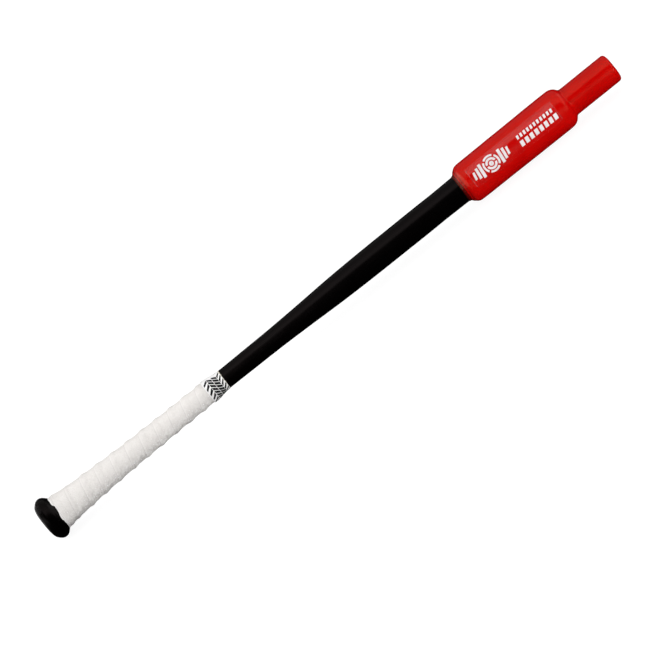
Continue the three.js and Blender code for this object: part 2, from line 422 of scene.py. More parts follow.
def lay_section(turn, xs, under, edge, end):
    """Inside and outside radii of the strip over the surface under it."""
    thick = 0.36 + (TAPE_THICK - 0.36) * float(smooth(-2.1, -0.5, turn))
    # It bridges the step below it, but not next to the knob.
    bridged = np.maximum.reduce([np.roll(under, shift) for shift in range(-9, 10, 3)])
    free = smooth(21.8, 24.5, xs)
    lifted = under * (1 - free) + bridged * free
    weights = bell_weights(SOFTEN, GRID_STEP)
    inner = np.maximum(np.convolve(lifted, weights, "same"), under) + 0.03
    # Both edges are thinned.
    head = 0.28 + (thick - 0.28) * smooth(-0.4, 3.3, xs - edge)
    tail = 0.2 + (thick - 0.2) * smooth(0.0, min(4.5, 0.5 * (end - edge)), end - xs)
    outer = inner + np.minimum(head, tail)
    # It is pressed in under the closing band.
    cap = np.where(xs > 239.8, band_radius(np.clip(xs, 240.8, 265)) - 0.34, 99.0)
    return inner, np.minimum(outer, np.maximum(cap, inner + 0.12))


def end_cap(start, flip):
    """Triangles that close one end of the strip, from the index of its first vertex."""
    last_inside = start + OUTS + INS - 1
    tris = []
    a = b = 0
    while a < OUTS - 1 or b < INS - 1:
        next_out = ACROSS_OUT[a + 1] if a < OUTS - 1 else 9
        next_in = ACROSS_IN[b + 1] if b < INS - 1 else 9
        if next_out <= next_in:
            tri = [start + a, start + a + 1, last_inside - b]
            a += 1
        else:
            tri = [start + a, last_inside - b - 1, last_inside - b]
            b += 1
        tris.append(tri[::-1] if flip else tri)
    return tris


def wind_grip():
    rows = int(round((LAST_TURN - FIRST_TURN) * TURN_ROWS)) + 1
    surface = bare_surface()
    outside, inside = np.zeros((rows, OUTS, 3)), np.zeros((rows, INS, 3))
    at_along, at_across, pebble_painted_light = (np.zeros((rows, OUTS)) for _ in range(3))
    along = 0.0
    for i in range(rows):
        turn = FIRST_TURN + i / TURN_ROWS
        j = i % TURN_ROWS
        angle = FRONT - TURN * turn
        edge, end = lay_edges(turn, angle)
        low = int((edge - GRID_FROM) / GRID_STEP) - GRID_PAD
        high = int((end - GRID_FROM) / GRID_STEP) + GRID_PAD
        xs, under = GRID[low:high], surface[j, low:high]
        inner, outer = lay_section(turn, xs, under, edge, end)
        covered = (xs >= edge) & (xs <= end)
        surface[j, low:high] = np.where(covered, np.maximum(outer, under), under)

        across = ACROSS_OUT * (end - edge)
        radius = np.interp(edge + across, xs, outer)
        fade = smooth(0.0, 1.2, across) * smooth(0.0, 3.0, end - (edge + across))
        below = 0.5 - 0.5 * math.cos(angle)  # 0 at the top, 1 underneath
        more = 0.75 + 1.25 * float(smooth(0.28, 0.85, below))
        radius = radius + wrinkles(turn, across, along) * fade * more
        face = pebbles(along, across) + 0.015 * slant_noise(along, across, 5.6, 5.6, seed=5)
        # painted shade and highlight of the pebbled face, for the material: faint on top and
        # stronger underneath where the light grazes
        pebble_painted_light[i] = face * (more * 1.35 - 0.80)
        inner_x = edge + ACROSS_IN * (end - edge)
        outside[i] = on_bat(edge + across, radius, angle)
        inside[i] = on_bat(inner_x, np.interp(inner_x, xs, inner), angle)
        at_along[i], at_across[i] = along, across
        along += TURN * float(radius[SHOWN_MID]) / TURN_ROWS

    section = OUTS + INS
    verts = np.concatenate([outside, inside[:, ::-1]], 1).reshape(-1, 3)
    i, j = np.meshgrid(np.arange(rows - 1), np.arange(section), indexing="ij")
    j2 = (j + 1) % section
    corners = [i * section + j, (i + 1) * section + j, (i + 1) * section + j2, i * section + j2]
    quads = np.stack(corners, -1).reshape(-1, 4)
    caps = np.array(end_cap(0, False) + end_cap((rows - 1) * section, True))
    if volume(verts, quads) < 0:
        quads, caps = quads[:, ::-1], caps[:, ::-1]
    hidden = {
        "along": (at_along, np.repeat(at_along[:, :1], INS, 1)),
        "across": (at_across, np.full((rows, INS), 15.0)),
        "pebble_painted_light": (pebble_painted_light, np.zeros((rows, INS))),
    }
    attributes = {key: np.concatenate(pair, 1) for key, pair in hidden.items()}
    return make_mesh("wound_grip", verts, quads, caps, sharp=60, attributes=attributes)


grip = wind_grip()

# ------------------------------------------------------------------ closing band: a thin tape
BAND_THICK = 0.2
BAND_X0, BAND_X1 = 240.8, 265.3
BAND_WIDE = BAND_X1 - BAND_X0
BAND_STEPS = 180  # rows a turn
BAND_TURNS = 1.12
BAND_FROM = FRONT + math.radians(150)  # its end lies at the back, low down
BAND_PRINT_RADIUS = 13.4  # arcs of the print are measured at this radius


def band_surface(x, angle):
    """Outside of the band's first layer, before it is skewed."""
    base = band_radius(np.clip(x, BAND_X0, BAND_X1)) - 0.02
    sag = 0.05 * np.sin(3 * angle + 0.6) * smooth(250, 256, x) * (1 - smooth(258, 263, x))
    fold = np.sin(11 * angle + x * 0.9) * smooth(249, 254, x) * (1 - smooth(258, 262, x))
    return base + sag + 0.045 * fold


def band_skew(angle):
    """How far the edge on the barrel side is shifted: the band is wound slightly askew."""
    return 0.45 * np.cos(angle - FRONT + math.pi / 2)


def band_climb(turn):
    """The part of its step up on to its own start that the band has made."""
    return smooth(0.97, 1.03, turn)


def build_band():
    tail = [BAND_WIDE - 0.5, BAND_WIDE - 0.15, BAND_WIDE]
    across = np.concatenate([[0, 0.15, 0.5], np.arange(1.2, BAND_WIDE - 0.6, 0.6), tail])
    turn = np.arange(int(BAND_STEPS * BAND_TURNS) + 1)[:, None] / BAND_STEPS
    angle = BAND_FROM - TURN * turn
    x = BAND_X0 + across + band_skew(angle) * (across / BAND_WIDE)
    radius = band_surface(BAND_X0 + across, angle) + band_climb(turn) * (BAND_THICK + 0.02)
    edge = np.minimum(across, BAND_WIDE - across)
    round_off = 0.05 * (1 - smooth(0.0, 0.25, edge))
    parts = sheet(on_bat(x, radius - round_off, angle), on_bat(x, radius - BAND_THICK, angle))
    return make_mesh("closing_band", *parts, sharp=55)


def band_top(x, angle):
    """Outside of the wound band, with the overlap."""
    turn = ((BAND_FROM - angle) / TURN) % 1.0
    lapped = np.where(turn < BAND_TURNS - 1.0, band_climb(turn + 1.0), 0.0)
    flat = BAND_X0 + (x - BAND_X0) / (1 + band_skew(angle) / BAND_WIDE)
    over = np.maximum(lapped, band_climb(turn))
    return band_surface(flat, angle) + over * (BAND_THICK + 0.02)


# Bars of the print, as (x, arc, x, arc, width, width, steps): where a bar starts and ends, its
# width round the band at the start and at the end, and its steps along.
BAND_ARMS = (
    (247.6, -1.6, 241.9, 3.0, 3.9, 2.4, 14),  # sweeps back over the grip
    (260.0, 2.4, 264.6, -3.1, 3.8, 2.3, 12),  # sweeps up towards the barrel
)
BAND_SLANTS = (  # two columns of slanted bars
    (248.1, -1.7, 253.4, 2.2, 3.3, 3.3, 12),
    (253.9, -1.1, 259.6, 2.7, 3.4, 3.4, 12),
)


def blank(arc):
    """The print leaves a blank stretch along the top."""
    angle = (FRONT + arc / BAND_PRINT_RADIUS + math.pi) % TURN - math.pi
    return math.radians(-28) < angle < math.radians(10)


def print_band():
    parts = []
    for count, shift, bars in ((14, 0.3, BAND_ARMS), (20, 0.5, BAND_SLANTS)):
        for k in range(count):
            arc = TURN * BAND_PRINT_RADIUS * (k + shift) / count
            if blank(arc):
                continue
            for x0, arc0, x1, arc1, wide0, wide1, steps in bars:
                start, end = arc + arc0, arc + arc1
                corners = [
                    [x0, start - wide0 / 2], [x0, start + wide0 / 2],
                    [x1, end + wide1 / 2], [x1, end - wide1 / 2],
                ]
                parts.append(
                    ink_patch(corners, band_top, BAND_PRINT_RADIUS, lift=0.03, m=steps, n=7)
                )
    return make_mesh("closing_band_print", *joined(parts), sharp=50)


band = build_band()
band_ink = print_band()

# ------------------------------------------------------------------ red film sleeve
FILM_THICK = 0.6
# Outside of the film, as [x, radius].
FILM = [
    [613.2, 17.5], [614.1, 17.72], [615.2, 18.02], [616.0, 18.65], [616.8, 19.55],
    [617.8, 20.75], [619.1, 22.05], [620.6, 23.2], [622.2, 24.15], [624.0, 24.78],
    [626.0, 25.1], [632.9, 25.26], [655.0, 25.4], [678.0, 25.52], [701.0, 25.66],
    [724.0, 25.8], [745.0, 25.88], [756.5, 25.84], [760.3, 25.65], [762.6, 25.2],
    [764.6, 24.5], [766.4, 23.5], [768.0, 22.25], [769.4, 20.75], [770.5, 19.45],
    [771.4, 18.6], [772.6, 18.15], [776.0, 18.05], [800.0, 18.07], [828.0, 18.1],
    [833.0, 18.06], [834.7, 17.86], [835.9, 17.25], [836.7, 16.4], [837.3, 15.35],
    [837.75, 14.2], [838.05, 12.9], [LENGTH, 11.4],
]
film_line = curve_through(FILM, per=4)
film_radius = monotone([spot for spot in film_line if 613.4 <= spot[0] <= 836.0])


def thinned(line):
    """The line without points that hardly advance in x."""
    return line[np.concatenate([[True], np.diff(line[:, 0]) > 0.02])]


def film_wave(x, angle):
    """How the shrunk film departs from a turned shape, in millimetres out."""
    # puckers round the first shoulder, where the film comes down to the barrel
    pucker = np.sin(19 * angle + 1.7 * np.sin(3 * angle))
    pucker = pucker + 0.6 * np.sin(31 * angle + 0.8 + 2 * np.sin(2 * angle))
    out = 0.13 * swell(x, 617.6, 2.6) * pucker
    # the film bunches into a ring just past its lip
    ring = 1.0 + 0.45 * np.sin(2 * angle + 0.9) + 0.3 * np.sin(5 * angle)
    out = out + ring * 0.20 * (swell(x, 616.9, 0.75) - swell(x, 619.2, 0.9))
    ripple = np.sin(13 * angle + 0.4 + 1.2 * np.sin(5 * angle))
    out = out + 0.05 * swell(x, 624.5, 4.0) * ripple
    # softer puckers at the second shoulder
    soft = np.sin(17 * angle + 2.2 + 1.5 * np.sin(2 * angle))
    out = out + 0.06 * swell(x, 771.5, 3.0) * soft
    # pleats where it folds round the tip
    pleats = np.sin(26 * angle + 1.1 * np.sin(4 * angle)) - 0.6
    out = out + 0.09 * smooth(833.5, 837.0, x) * pleats
    # long faint waves
    flat = smooth(622, 632, x) * (1 - smooth(755, 764, x))
    out = out + 0.030 * flat * np.sin(x * 0.11 + 2 * angle + 0.8) * np.sin(3 * angle + 0.5)
    out = out + 0.016 * flat * np.sin(x * 0.27 - 3 * angle)
    narrow = smooth(775, 782, x) * (1 - smooth(826, 832, x))
    return out + 0.022 * narrow * np.sin(x * 0.21 + 3 * angle) * np.sin(2 * angle + 1.0)


def film_surface(x, angle):
    return film_radius(x) + film_wave(x, angle)


def film_outside():
    """The film's outline with points added where they are over 3 mm apart."""
    dense = []
    for start, end in zip(film_line[:-1], film_line[1:]):
        steps = int(np.linalg.norm(end - start) // 3.0) + 1
        dense += [start + (end - start) * k / steps for k in range(steps)]
    return np.array(dense + [film_line[-1]])


def film_inside():
    """The film's inner line, which clears the barrel at both of its narrow ends."""
    line = inset(film_line, FILM_THICK)
    out_x = film_line[:, 0]
    line[out_x < 615.6, 1] = 17.2
    narrow = (out_x > 771.0) & (out_x < 832)
    line[narrow, 1] = np.minimum(line[narrow, 1], 17.26)
    return thinned(line)


def build_sleeve():
    outside = film_outside()

    def shrunk(x, radius, angle):
        out = np.zeros((len(x), 1))
        out[: len(outside)] = 1.0
        radius = radius + film_wave(x, angle) * out
        # The cut lip and the cut end at the tip aren't quite straight.
        lip = swell(x, 613.4, 0.9)
        moved = x + 0.28 * lip * np.sin(2 * angle + 0.7) + 0.12 * lip * np.sin(7 * angle)
        end = smooth(837.2, 838.2, x) * out
        return np.minimum(moved, LENGTH), radius + 0.35 * end * np.sin(5 * angle + 0.3)

    inner = film_inside()[::-1][1:]
    outline = np.vstack([outside, [[LENGTH - 0.12, 10.05]], inner, [[613.35, 17.22]]])
    return turned("red_film_sleeve", outline, steps=192, shape=shrunk, loop=True)


sleeve = build_sleeve()


# ------------------------------------------------------------------ collar and bond, in the sleeve
COLLAR_BORE = 17.56
BOND_OUT, BOND_IN = 17.5, 17.18  # radii


def build_collar():
    line = inset(film_line, 0.78)
    line = line[(line[:, 0] > 617.8) & (line[:, 0] < 768.9) & (line[:, 1] > 18.6)]
    outline = [
        [[617.3, 17.58], [617.2, 17.9], [617.35, 18.4]],
        thinned(line),
        [[769.0, 18.4], [769.15, 17.9], [769.05, 17.58]],
        [[x, COLLAR_BORE] for x in (745.0, 700.0, 650.0)],
    ]
    return turned("collar_ring", np.vstack(outline), steps=128, loop=True)


def squeezed(x, radius, angle):
    """Makes both ends of the bond uneven."""
    uneven = 0.5 * np.sin(4 * angle + 0.3) + 0.3 * np.sin(9 * angle)
    ends = (1 - smooth(620, 624, x)) - smooth(762, 766, x)
    return x + uneven * ends * 0.6, radius


def build_bond():
    xs = np.linspace(620.2, 766.0, 30)
    outline = [[x, BOND_OUT] for x in xs] + [[x, BOND_IN] for x in xs[::-1]]
    return turned("collar_bond", outline, steps=96, shape=squeezed, loop=True)


collar = build_collar()
bond = build_bond()

# ------------------------------------------------------------------ label: clear film with print
LABEL_X0, LABEL_X1 = 629.3, 754.2
LABEL_TOP, LABEL_LOW = FRONT - math.radians(34.0), FRONT + math.radians(26.6)
LABEL_RADIUS = 25.5  # arcs on the label are measured at this radius
LABEL_THICK = 0.11
LABEL_LIFT = 0.03  # clearance over the sleeve


def rounded(x, y, corner):
    """Moves a grid over a rectangle from 0, 0 so that its corners are rounded."""
    mid_x, mid_y = np.clip(x, corner, x.max() - corner), np.clip(y, corner, y.max() - corner)
    off_x, off_y = x - mid_x, y - mid_y
    in_corner = (np.abs(off_x) > 1e-9) & (np.abs(off_y) > 1e-9)
    big = np.maximum(np.abs(off_x), np.abs(off_y))
    shrink = np.where(in_corner, big / np.maximum(np.hypot(off_x, off_y), 1e-9), 1.0)
    return mid_x + off_x * shrink, mid_y + off_y * shrink


def build_label():
    part_x = np.concatenate([[0, 0.003, 0.008], np.linspace(0.014, 0.986, 94), [0.992, 0.997, 1]])
    part_arc = np.concatenate([[0, 0.01, 0.03], np.linspace(0.06, 0.94, 28), [0.97, 0.99, 1]])
    length, height = LABEL_X1 - LABEL_X0, (LABEL_LOW - LABEL_TOP) * LABEL_RADIUS
    x, arc = np.meshgrid(part_x * length, part_arc * height, indexing="ij")
    x, arc = rounded(x, arc, corner=1.6)
    angle = LABEL_TOP + arc / LABEL_RADIUS
    radius = film_surface(LABEL_X0 + x, angle) + LABEL_LIFT
    parts = sheet(
        on_bat(LABEL_X0 + x, radius + LABEL_THICK, angle), on_bat(LABEL_X0 + x, radius, angle)
    )
    # distance from the edge, with the two long edges made thinner
    ends = np.minimum(x, length - x)
    rim = np.minimum(ends, 0.35 + 2.2 * np.minimum(arc, height - arc)).ravel()
    return make_mesh("label_film", *parts, sharp=50, attributes={"rim": np.tile(rim, 2)})


def label_top(x, angle):
    return film_surface(x, angle) + LABEL_LIFT + LABEL_THICK


LABEL_INK_LIFT = 0.015
TARGET_X, TARGET_ARC = 658.6, -0.8
DOT_RADIUS = 2.9
INNER_RING, OUTER_RING = (4.3, 7.0), (8.3, 10.7)  # radii of the broken rings
# Bars on each side of the target, from the nearest out, as (half height, width).
SIDE_BARS = ((8.6, 3.7), (6.6, 3.3), (4.6, 2.8))


def ring_patch(radii, start, end, m=40):
    """Part of a ring of ink about the target's middle, from one angle to another."""
    turn, out = np.meshgrid(np.linspace(start, end, m), np.linspace(*radii, 4), indexing="ij")
    angle = FRONT + (TARGET_ARC + out * np.sin(turn)) / LABEL_RADIUS
    return inked(TARGET_X + out * np.cos(turn), angle, label_top, LABEL_INK_LIFT)


def slanted_bar(x, lean, wide, top, low, m, n):
    """A bar with its low end at x and its top end leant towards the tip."""
    corners = [[x + lean, top], [x + lean + wide, top], [x + wide, low], [x, low]]
    return ink_patch(corners, label_top, LABEL_RADIUS, lift=LABEL_INK_LIFT, m=m, n=n)


def print_label():
    # A plain target: a dot and two broken rings.
    parts = [ring_patch((0.25, DOT_RADIUS), 0, TURN * 0.9999)]
    for k in range(2):
        parts.append(ring_patch(INNER_RING, math.pi * k + 0.16, math.pi * (k + 1) - 0.16))
    for k in range(4):
        start = math.pi / 2 * k + math.pi / 4
        parts.append(ring_patch(OUTER_RING, start + 0.12, start + math.pi / 2 - 0.12, m=30))
    # Slanted bars on each side of it, growing towards it.
    for side in (-1, 1):
        for k, (half, wide) in enumerate(SIDE_BARS):
            x = TARGET_X + side * (13.9 + 5.0 * k) - wide / 2 - 0.9
            top, low = TARGET_ARC - half, TARGET_ARC + half
            parts.append(slanted_bar(x, lean=1.8, wide=wide, top=top, low=low, m=4, n=12))
    # Two rows of plain slanted bars: short ones above, long ones below.
    for k in range(11):
        x = 698.6 + 4.86 * k
        parts.append(slanted_bar(x, lean=0.7, wide=2.8, top=-7.4, low=-2.8, m=4, n=6))
    for k in range(8):
        x = 698.0 + 6.96 * k
        parts.append(slanted_bar(x, lean=1.0, wide=4.6, top=0.2, low=7.0, m=6, n=7))
    return make_mesh("label_print", *joined(parts), sharp=50)


label = build_label()
label_ink = print_label()


# ------------------------------------------------------------------ materials
class Nodes:
    """Shorthand for building a node tree. Most methods give an output socket."""

    def __init__(self, owner, output="ShaderNodeOutputMaterial"):
        self.owner = owner
        owner.use_nodes = True
        self.tree = owner.node_tree
        self.tree.nodes.clear()
        self.output = self.tree.nodes.new(output)

    def put(self, socket, value):
        if isinstance(value, bpy.types.NodeSocket):
            self.tree.links.new(value, socket)
        elif isinstance(value, tuple) and socket.type == "RGBA":
            socket.default_value = (*value, 1.0)
        else:
            socket.default_value = value

    def node(self, kind, inputs=None, **props):
        node = self.tree.nodes.new(kind)
        for key, value in props.items():
            setattr(node, key, value)
        for key, value in (inputs or {}).items():
            self.put(node.inputs[key], value)
        return node

    def make(self, kind, inputs=None, **props):
        """A node's first output."""
        return self.node(kind, inputs, **props).outputs[0]

    def math(self, operation, *values):
        return self.make("ShaderNodeMath", dict(enumerate(values)), operation=operation)

    def plus(self, a, b):
        return self.math("ADD", a, b)

    def times(self, first, *others):
        for other in others:
            first = self.math("MULTIPLY", first, other)
        return first

    def mix(self, base, colour, by):
        inputs = {0: by, 6: base, 7: colour}
        return self.node("ShaderNodeMix", inputs, data_type="RGBA").outputs[2]

    def ramp(self, value, over, to=(0.0, 1.0), kind="SMOOTHSTEP"):
        """Maps a value's range (over) to another (to)."""
        inputs = {"Value": value, "From Min": over[0], "From Max": over[1]}
        inputs.update({"To Min": to[0], "To Max": to[1]})
        return self.make("ShaderNodeMapRange", inputs, interpolation_type=kind)

    def line(self, value, over, to):
        return self.ramp(value, over, to, kind="LINEAR")

    def place(self):
        return self.node("ShaderNodeTexCoord").outputs["Object"]

    def axes(self, place):
        return self.node("ShaderNodeSeparateXYZ", {"Vector": place}).outputs

    def attribute(self, name):
        return self.node("ShaderNodeAttribute", attribute_name=name).outputs["Fac"]

    def noise(self, place, scale, detail=3.0, rough=0.5, stretch=None):
        """Noise. stretch scales its place along and across the bat."""
        if stretch:
            along, across = stretch
            inputs = {"Vector": place, "Scale": (along, across, across)}
            place = self.make("ShaderNodeMapping", inputs)
        inputs = {"Vector": place, "Scale": scale, "Detail": detail, "Roughness": rough}
        return self.node("ShaderNodeTexNoise", inputs).outputs["Fac"]

    def bump(self, height, distance, normal=None, strength=0.5):
        inputs = {"Strength": strength, "Distance": distance, "Height": height}
        if normal is not None:
            inputs["Normal"] = normal
        return self.make("ShaderNodeBump", inputs)

    def finish(self, shader):
        self.tree.links.new(shader, self.output.inputs["Surface"])
        return self.owner

    def surface(self, **inputs):
        """Finishes with a principled shader."""
        named = {key.replace("_", " "): value for key, value in inputs.items()}
        return self.finish(self.make("ShaderNodeBsdfPrincipled", named))


def material(name):
    return Nodes(bpy.data.materials.new(name))


def black_lacquer():
    mat = material("black_lacquer")
    place = mat.place()
    grain = mat.noise(place, scale=6.0, detail=4.0, rough=0.55, stretch=(12.0, 260.0))
    peel = mat.noise(place, scale=420.0, detail=2.0)
    haze = mat.noise(place, scale=26.0, rough=0.55)
    x = mat.axes(place)[0]
    rough = mat.plus(mat.ramp(haze, over=(0.3, 0.7), to=(0.22, 0.27)), mat.times(grain, 0.04))
    # the knob is handled and rubbed: duller, with fine wear
    knob = mat.ramp(x, over=(0.0195, 0.0235), to=(1.0, 0.0))
    rub = mat.noise(place, scale=150.0, detail=4.0, rough=0.65)
    dulled = mat.ramp(rub, over=(0.35, 0.7), to=(-0.03, 0.06))
    rough = mat.plus(rough, mat.times(knob, dulled))
    by = mat.ramp(grain, over=(0.35, 0.75))
    colour = mat.mix((0.0002, 0.0001, 0.0001), (0.0007, 0.0004, 0.0004), by)
    worn = mat.times(knob, mat.ramp(rub, over=(0.62, 0.78), to=(0.0, 0.35)))
    colour = mat.mix(colour, (0.005, 0.004, 0.004), by=worn)
    normal = mat.bump(grain, distance=0.00004)
    return mat.surface(
        Base_Color=colour,
        Roughness=rough,
        Specular_IOR_Level=mat.plus(0.22, mat.times(knob, -0.02)),
        Specular_Tint=(1.0, 0.84, 0.84),
        Normal=mat.bump(peel, distance=0.00002, normal=normal),
    )


def under_label(mat, axes):
    """1 where the label lies, 0 elsewhere."""
    x, y, z = axes
    middle, half = (LABEL_TOP + LABEL_LOW) / 2, (LABEL_LOW - LABEL_TOP) / 2
    radius = mat.math("SQRT", mat.plus(mat.times(y, y), mat.times(z, z)))
    facing = mat.plus(mat.times(y, -math.sin(middle)), mat.times(z, math.cos(middle)))
    facing = mat.math("DIVIDE", facing, radius)
    start, end, soft = LABEL_X0 * MM, LABEL_X1 * MM, 0.00015
    return mat.times(
        mat.ramp(facing, over=(math.cos(half + 0.006), math.cos(half - 0.006))),
        mat.ramp(x, over=(start - soft, start + soft)),
        mat.ramp(x, over=(end - soft, end + soft), to=(1.0, 0.0)),
    )


def red_film():
    mat = material("red_film")
    place = mat.place()
    axes = mat.axes(place)
    x = axes[0]
    cloud = mat.noise(place, scale=34.0)
    fine = mat.noise(place, scale=900.0, detail=2.0)
    ripple = mat.noise(place, scale=1.6, rough=0.55, stretch=(60.0, 260.0))
    waves = mat.noise(place, scale=3.0, stretch=(10.0, 90.0))
    by = mat.ramp(cloud, over=(0.3, 0.7))
    colour = mat.mix((0.462, 0.0002, 0.0001), (0.498, 0.0004, 0.0002), by)
    # a little darker over the narrow end: painted shade that tones down the light there
    narrow = mat.ramp(x, over=(0.766, 0.774), to=(0.0, 0.07))
    colour = mat.mix(colour, (0.10, 0.0004, 0.0002), by=narrow)
    # Darker towards the lip: over the steep shoulder this is painted shade, where it faces away
    # from the front light; at the thin lip and its cut edge the black shows through.
    wavy_x = mat.plus(x, mat.times(mat.math("SUBTRACT", ripple, 0.5), 0.0016))
    for span, amount, dark in (
        ((0.6192, 0.6216), 0.30, (0.200, 0.0006, 0.0003)),
        ((0.6160, 0.6172), 0.97, (0.075, 0.0004, 0.0003)),
        ((0.6130, 0.6148), 0.70, (0.018, 0.0004, 0.0003)),
    ):
        by = mat.times(mat.ramp(wavy_x, over=span, to=(1.0, 0.0)), amount)
        colour = mat.mix(colour, dark, by)
    # painted shade in the hollow behind the bunched ring
    hollow_painted_shade = mat.times(
        mat.ramp(wavy_x, over=(0.6176, 0.6186)),
        mat.ramp(wavy_x, over=(0.6188, 0.6200), to=(1.0, 0.0)),
        0.60,
    )
    colour = mat.mix(colour, (0.090, 0.0004, 0.0003), by=hollow_painted_shade)
    rough = mat.plus(mat.ramp(cloud, over=(0.3, 0.7), to=(0.12, 0.17)), mat.times(fine, 0.03))
    normal = mat.bump(waves, distance=0.00012)
    near = mat.ramp(x, over=(0.616, 0.634), to=(1.0, 0.06))
    normal = mat.bump(mat.times(ripple, near), distance=0.0011, normal=normal, strength=0.6)
    return mat.surface(
        Base_Color=colour,
        Roughness=rough,
        Specular_IOR_Level=0.5,
        Specular_Tint=(1.0, 0.70, 0.45),
        Normal=mat.bump(fine, distance=0.000008, normal=normal),
        Coat_Weight=under_label(mat, axes),  # the label's own gloss
        Coat_Roughness=0.10,
        Coat_IOR=1.58,
        Subsurface_Weight=0.0,
        Subsurface_Radius=(1.0, 0.05, 0.03),
        Subsurface_Scale=0.012,
    )


def clear_label_film():
    """Clear, with a faint haze in smears, and a whitish rim that is partly the lifted edge and
    partly a painted glint of its cut edge.
    """
    mat = material("clear_label_film")
    rim = mat.attribute("rim")
    smear = mat.noise(mat.place(), scale=2.2, detail=2.0, stretch=(30.0, 60.0))
    clear = mat.make("ShaderNodeBsdfTransparent", {"Color": (1.0, 1.0, 1.0)})
    haze = mat.make("ShaderNodeBsdfDiffuse", {"Color": (0.80, 0.74, 0.74)})
    behind = mat.node("ShaderNodeNewGeometry").outputs["Backfacing"]
    facing = mat.math("SUBTRACT", 1.0, behind)
    # the whitish rim is partly a lifted edge and partly a painted glint where the cut edge catches
    # light
    rim_haze_and_glint = mat.ramp(rim, over=(0.0, 0.9), to=(0.11, 0.0))
    amount = mat.plus(rim_haze_and_glint, mat.ramp(smear, over=(0.35, 0.75), to=(0.0, 0.008)))
    amount = mat.times(amount, facing)
    return mat.finish(mat.make("ShaderNodeMixShader", {0: amount, 1: clear, 2: haze}))


def ink(name, colour, rough):
    mat = material(name)
    place = mat.place()
    grain = mat.noise(place, scale=700.0, rough=0.6)
    patchy = mat.noise(place, scale=90.0)
    darker = tuple(part * 0.93 for part in colour)
    return mat.surface(
        Base_Color=mat.mix(colour, darker, by=mat.ramp(patchy, over=(0.3, 0.75))),
        Roughness=mat.plus(rough, mat.times(grain, 0.1)),
        Specular_IOR_Level=0.4,
        Normal=mat.bump(grain, distance=0.00001),
    )


def label_ink_white():
    return ink("label_ink_white", colour=(0.738, 0.69, 0.70), rough=0.35)


def band_ink_black():
    return ink("band_ink_black", colour=(0.004, 0.004, 0.004), rough=0.42)


DIMPLE_PITCH = 6.4  # of the grip's dimples, on diagonals of the strip, in millimetres


